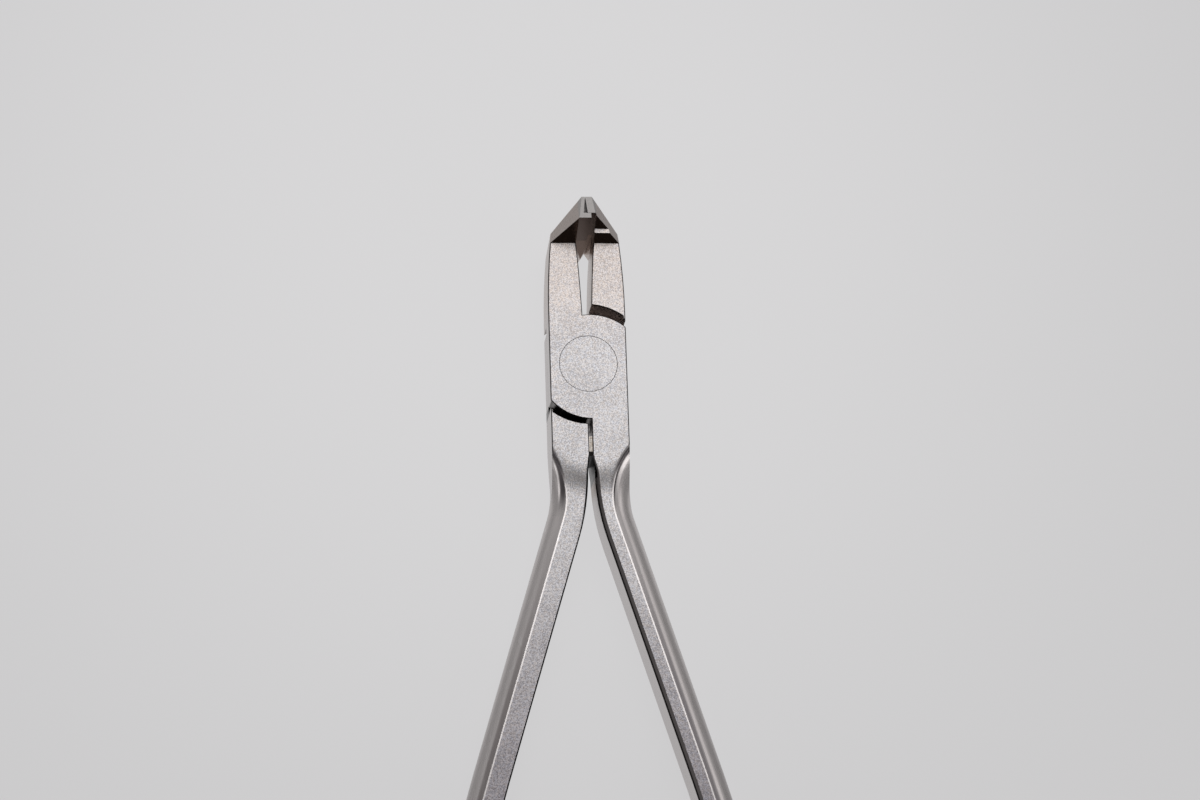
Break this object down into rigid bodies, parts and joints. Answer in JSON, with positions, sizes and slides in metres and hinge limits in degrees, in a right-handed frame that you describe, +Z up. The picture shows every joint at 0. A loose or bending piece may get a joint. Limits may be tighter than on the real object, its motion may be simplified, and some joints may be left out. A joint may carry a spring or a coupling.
{
  "type": "orthodontic distal end cutting pliers",
  "caption": "Hand pliers with a flush lap joint and a square-set cutting head with hardened shear inserts, for trimming the end of an orthodontic arch wire.",
  "frame": {"origin": "on the pivot axis, in the plane of the joint's back face", "axes": "+Y from the joint to the cutting head, +Z up out of the joint's front face, +X across to the jaw of the back arm"},
  "size_m": [0.0482, 0.1299, 0.0128],
  "materials": {
    "arm_steel": "fine satin blast",
    "insert_steel": "fine ground",
    "pivot_steel": "fine satin blast, ground flush with the arm"
  },
  "bodies": {
    "front_half": {"front_arm": "arm_steel", "left_cutting_insert": "insert_steel", "pivot_bolt": "pivot_steel", "pivot_screw": "pivot_steel"},
    "back_half": {"back_arm": "arm_steel", "right_cutting_insert": "insert_steel"}
  },
  "joints": [
    {"name": "jaw_opening", "type": "hinge", "parent": "front_half", "child": "back_half", "pos_m": [0, 0, 0], "axis": [0, 0, -1], "range_deg": [0, 45]}
  ]
}
